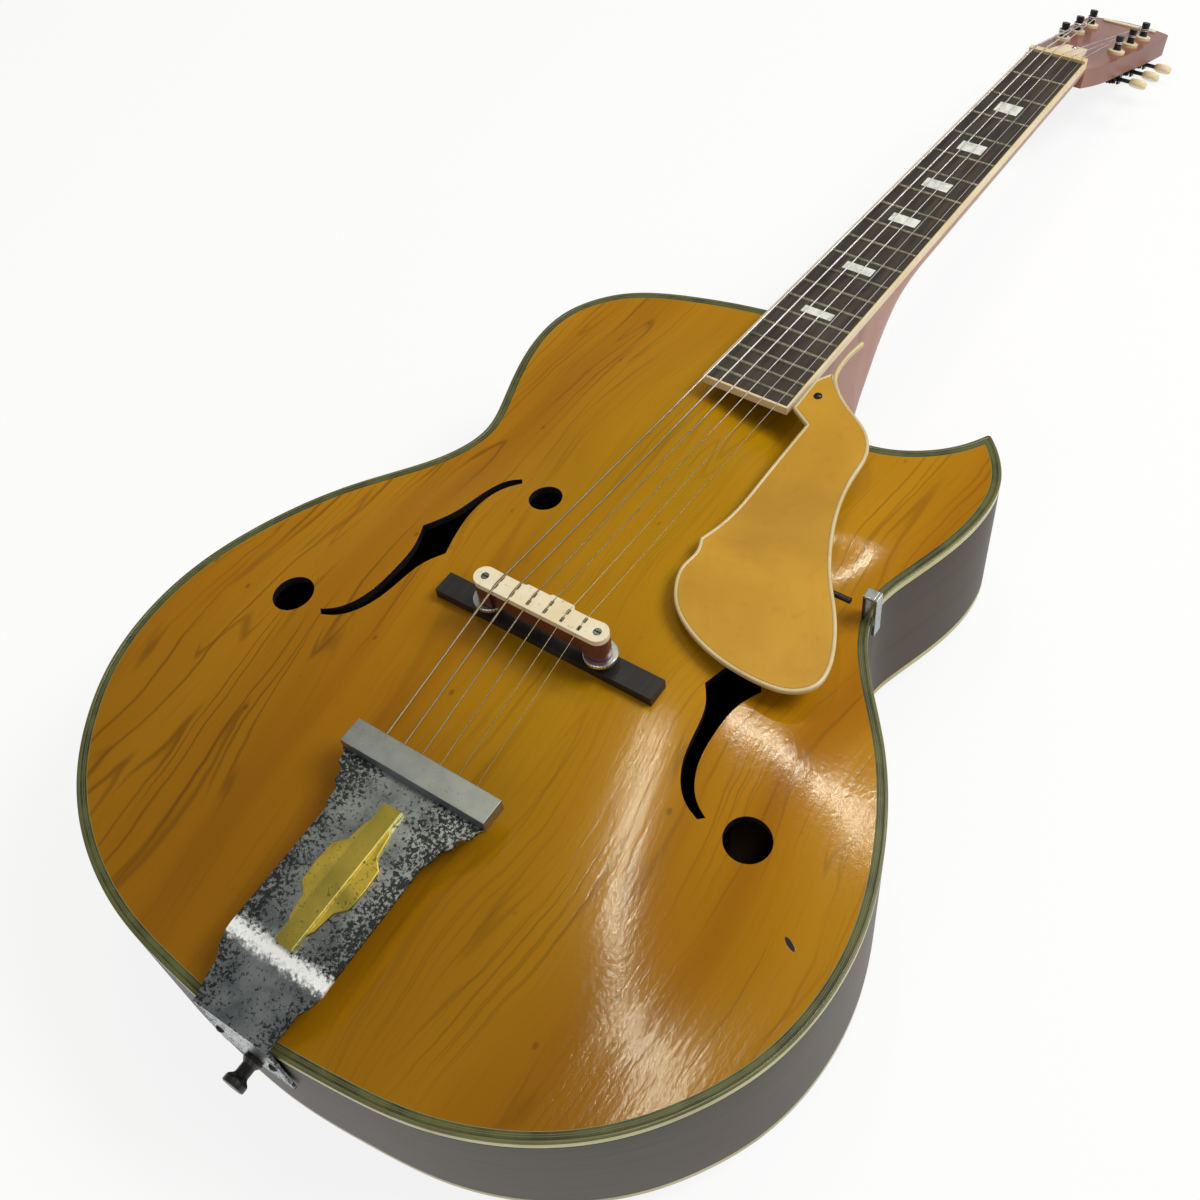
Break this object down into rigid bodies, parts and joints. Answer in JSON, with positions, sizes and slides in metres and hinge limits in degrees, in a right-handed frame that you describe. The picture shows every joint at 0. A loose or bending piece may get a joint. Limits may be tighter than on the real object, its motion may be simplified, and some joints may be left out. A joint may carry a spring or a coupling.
{
  "type": "archtop guitar",
  "caption": "Hollow archtop guitar with a sharp single cutaway, f-shaped sound holes, floating bridge, trapeze tailpiece and geared tuners.",
  "frame": {"origin": "bottom centre of the whole box, with the guitar lying on its back", "axes": "+Z out of the top, +Y from the tail to the head, +X to the treble side with the cutaway"},
  "size_m": [0.4111, 1.0582, 0.1474],
  "materials": {
    "top_wood": "gloss amber lacquer over figured wood",
    "side_wood": "gloss dark brown lacquer",
    "binding": "aged cream, polished",
    "purfling": "olive band under lacquer",
    "inner_wood": "bare",
    "neck_wood": "gloss reddish brown lacquer",
    "dark_wood": "satin",
    "fret_metal": "worn",
    "pearl": "pearly",
    "guard": "mottled golden, gloss",
    "chrome": "tarnished",
    "gold": "polished, worn",
    "black_plastic": "polished",
    "dark_metal": "dark, worn",
    "key_cream": "aged cream",
    "string_steel": "wound and plain steel"
  },
  "bodies": {
    "guitar": {"top_plate": "top_wood", "back_plate": "side_wood", "bass_side": "side_wood", "treble_side": "side_wood", "cutaway_side": "side_wood", "top_binding": "binding", "top_purfling": "purfling", "back_binding": "binding", "neck_block": "inner_wood", "tail_block": "inner_wood", "cutaway_block": "inner_wood", "top_linings": "inner_wood", "back_linings": "inner_wood", "tone_bars": "inner_wood", "neck": "neck_wood", "fingerboard": "dark_wood", "fingerboard_binding": "binding", "frets": "fret_metal", "position_markers": "pearl", "nut": "binding", "truss_rod": "fret_metal", "truss_rod_cover": "binding", "truss_cover_screws": "fret_metal", "headstock_plaque": "binding", "pickguard": "guard", "pickguard_binding": "binding", "pickguard_bracket": "chrome", "pickguard_screws": "fret_metal", "bridge_base": "dark_wood", "bridge_posts": "fret_metal", "tailpiece_plate": "chrome", "tailpiece_string_bar": "chrome", "tailpiece_ornament": "gold", "tailpiece_screws": "fret_metal", "strap_button": "black_plastic", "tuner_plates": "dark_metal", "tuner_bushings": "binding", "tuner_screws": "fret_metal", "string_1": "string_steel", "string_2": "string_steel", "string_3": "string_steel", "string_4": "string_steel", "string_5": "string_steel", "string_6": "string_steel"},
    "key_1": {"tuner_key_1": "key_cream"},
    "post_1": {"tuner_post_1": "dark_metal"},
    "key_2": {"tuner_key_2": "key_cream"},
    "post_2": {"tuner_post_2": "dark_metal"},
    "key_3": {"tuner_key_3": "key_cream"},
    "post_3": {"tuner_post_3": "dark_metal"},
    "key_4": {"tuner_key_4": "key_cream"},
    "post_4": {"tuner_post_4": "dark_metal"},
    "key_5": {"tuner_key_5": "key_cream"},
    "post_5": {"tuner_post_5": "dark_metal"},
    "key_6": {"tuner_key_6": "key_cream"},
    "post_6": {"tuner_post_6": "dark_metal"},
    "saddle": {"bridge_saddle": "neck_wood", "bridge_cap": "binding"},
    "wheel_bass": {"thumbwheel_bass": "fret_metal"},
    "wheel_treble": {"thumbwheel_treble": "fret_metal"}
  },
  "joints": [
    {"name": "key_1_turn", "type": "hinge", "parent": "guitar", "child": "key_1", "pos_m": [0.0215, 0.41975, 0.03477], "axis": [1, 0, 0], "continuous": true},
    {"name": "post_1_turn", "type": "hinge", "parent": "guitar", "child": "post_1", "pos_m": [0.0215, 0.41825, 0.0558], "axis": [0, 0.342, 0.9397], "continuous": true},
    {"name": "key_2_turn", "type": "hinge", "parent": "guitar", "child": "key_2", "pos_m": [0.0215, 0.45217, 0.02297], "axis": [1, 0, 0], "continuous": true},
    {"name": "post_2_turn", "type": "hinge", "parent": "guitar", "child": "post_2", "pos_m": [0.0215, 0.45067, 0.044], "axis": [0, 0.342, 0.9397], "continuous": true},
    {"name": "key_3_turn", "type": "hinge", "parent": "guitar", "child": "key_3", "pos_m": [0.0215, 0.48459, 0.01117], "axis": [1, 0, 0], "continuous": true},
    {"name": "post_3_turn", "type": "hinge", "parent": "guitar", "child": "post_3", "pos_m": [0.0215, 0.48309, 0.0322], "axis": [0, 0.342, 0.9397], "continuous": true},
    {"name": "key_4_turn", "type": "hinge", "parent": "guitar", "child": "key_4", "pos_m": [-0.0215, 0.48459, 0.01117], "axis": [-1, 0, 0], "continuous": true},
    {"name": "post_4_turn", "type": "hinge", "parent": "guitar", "child": "post_4", "pos_m": [-0.0215, 0.48309, 0.0322], "axis": [0, 0.342, 0.9397], "continuous": true},
    {"name": "key_5_turn", "type": "hinge", "parent": "guitar", "child": "key_5", "pos_m": [-0.0215, 0.45217, 0.02297], "axis": [-1, 0, 0], "continuous": true},
    {"name": "post_5_turn", "type": "hinge", "parent": "guitar", "child": "post_5", "pos_m": [-0.0215, 0.45067, 0.044], "axis": [0, 0.342, 0.9397], "continuous": true},
    {"name": "key_6_turn", "type": "hinge", "parent": "guitar", "child": "key_6", "pos_m": [-0.0215, 0.41975, 0.03477], "axis": [-1, 0, 0], "continuous": true},
    {"name": "post_6_turn", "type": "hinge", "parent": "guitar", "child": "post_6", "pos_m": [-0.0215, 0.41825, 0.0558], "axis": [0, 0.342, 0.9397], "continuous": true},
    {"name": "saddle_lift", "type": "slide", "parent": "guitar", "child": "saddle", "axis": [0, 0, 1], "range_m": [-0.0015, 0.0015], "deforming": ["string_1", "string_2", "string_3", "string_4", "string_5", "string_6"]},
    {"name": "wheel_bass_turn", "type": "hinge", "parent": "saddle", "child": "wheel_bass", "pos_m": [-0.0336, -0.2826, 0.12799], "axis": [0, 0, 1], "range_deg": [-800, 800]},
    {"name": "wheel_treble_turn", "type": "hinge", "parent": "saddle", "child": "wheel_treble", "pos_m": [0.0336, -0.2826, 0.12799], "axis": [0, 0, 1], "range_deg": [-800, 800]}
  ],
  "couplings": [
    {"joint": "post_1_turn", "follows": "key_1_turn", "ratio": 0.071429},
    {"joint": "post_2_turn", "follows": "key_2_turn", "ratio": 0.071429},
    {"joint": "post_3_turn", "follows": "key_3_turn", "ratio": 0.071429},
    {"joint": "post_4_turn", "follows": "key_4_turn", "ratio": 0.071429},
    {"joint": "post_5_turn", "follows": "key_5_turn", "ratio": 0.071429},
    {"joint": "post_6_turn", "follows": "key_6_turn", "ratio": 0.071429},
    {"joint": "wheel_bass_turn", "follows": "saddle_lift", "rad_per_m": 8976},
    {"joint": "wheel_treble_turn", "follows": "saddle_lift", "rad_per_m": 8976}
  ]
}
